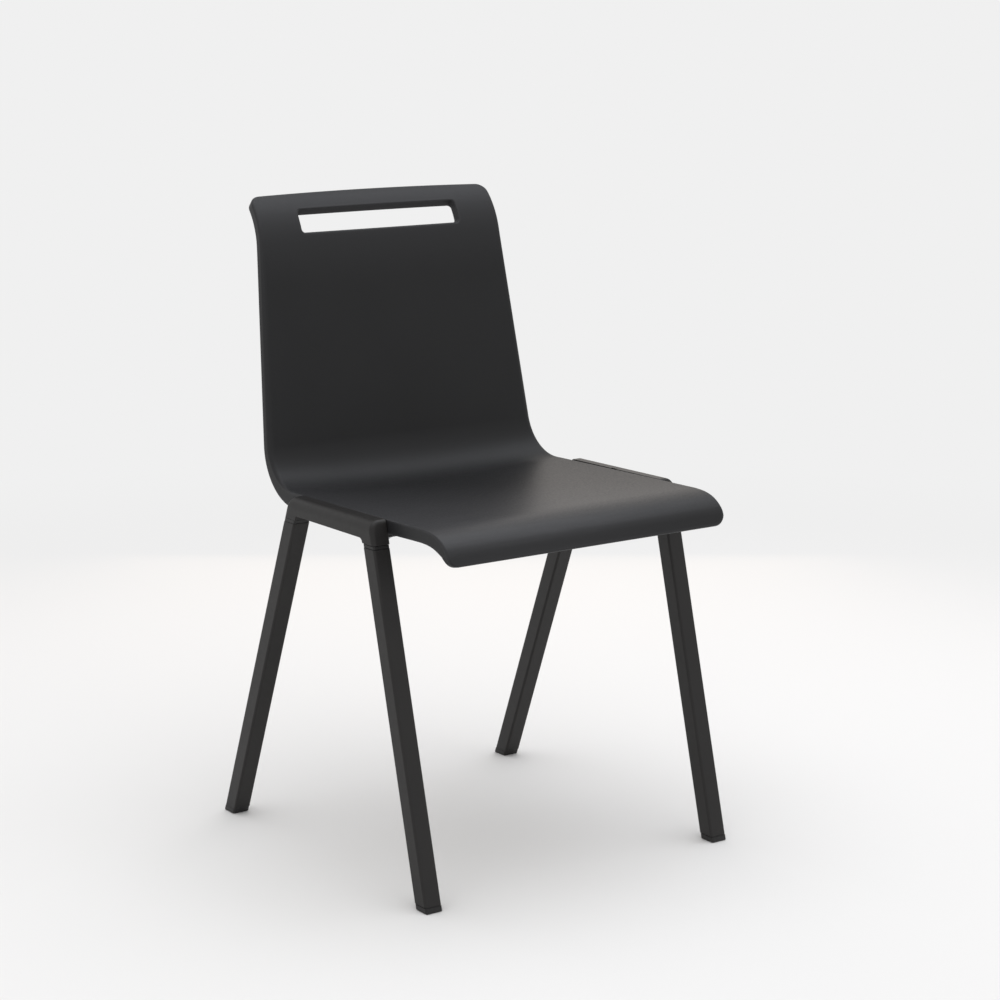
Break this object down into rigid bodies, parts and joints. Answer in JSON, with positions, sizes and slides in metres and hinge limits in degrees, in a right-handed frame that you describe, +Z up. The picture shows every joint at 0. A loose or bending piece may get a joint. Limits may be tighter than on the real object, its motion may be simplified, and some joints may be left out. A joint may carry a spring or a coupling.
{
  "type": "stacking chair",
  "caption": "Armless stacking chair: one-piece moulded seat and back with a hand slot, carried between cast side rails on raked square tube legs.",
  "frame": {"origin": "on the floor, under the middle of the chair's box", "axes": "+Z up, the sitter faces -Y, +X is the sitter's left"},
  "size_m": [0.472, 0.5048, 0.8253],
  "materials": {
    "shell_plastic": "fine matte moulded grain",
    "rail_casting": "black powder coat on cast aluminium",
    "leg_tube": "black powder coat on steel tube",
    "collar_plastic": "moulded matte",
    "glide_plastic": "moulded matte",
    "bar_steel": "black powder coat on flat steel",
    "screw_steel": "zinc plated",
    "insert_brass": "turned"
  },
  "bodies": {
    "root": {"seat_shell": "shell_plastic", "right_side_rail": "rail_casting", "left_side_rail": "rail_casting", "front_right_leg": "leg_tube", "front_left_leg": "leg_tube", "rear_right_leg": "leg_tube", "rear_left_leg": "leg_tube", "front_right_collar": "collar_plastic", "front_left_collar": "collar_plastic", "rear_right_collar": "collar_plastic", "rear_left_collar": "collar_plastic", "front_right_glide": "glide_plastic", "front_left_glide": "glide_plastic", "rear_right_glide": "glide_plastic", "rear_left_glide": "glide_plastic", "front_cross_bar": "bar_steel", "rear_cross_bar": "bar_steel", "cross_bar_screws": "screw_steel", "shell_washers": "screw_steel", "shell_screws": "screw_steel", "leg_screws": "screw_steel", "shell_inserts": "insert_brass"}
  },
  "joints": []
}
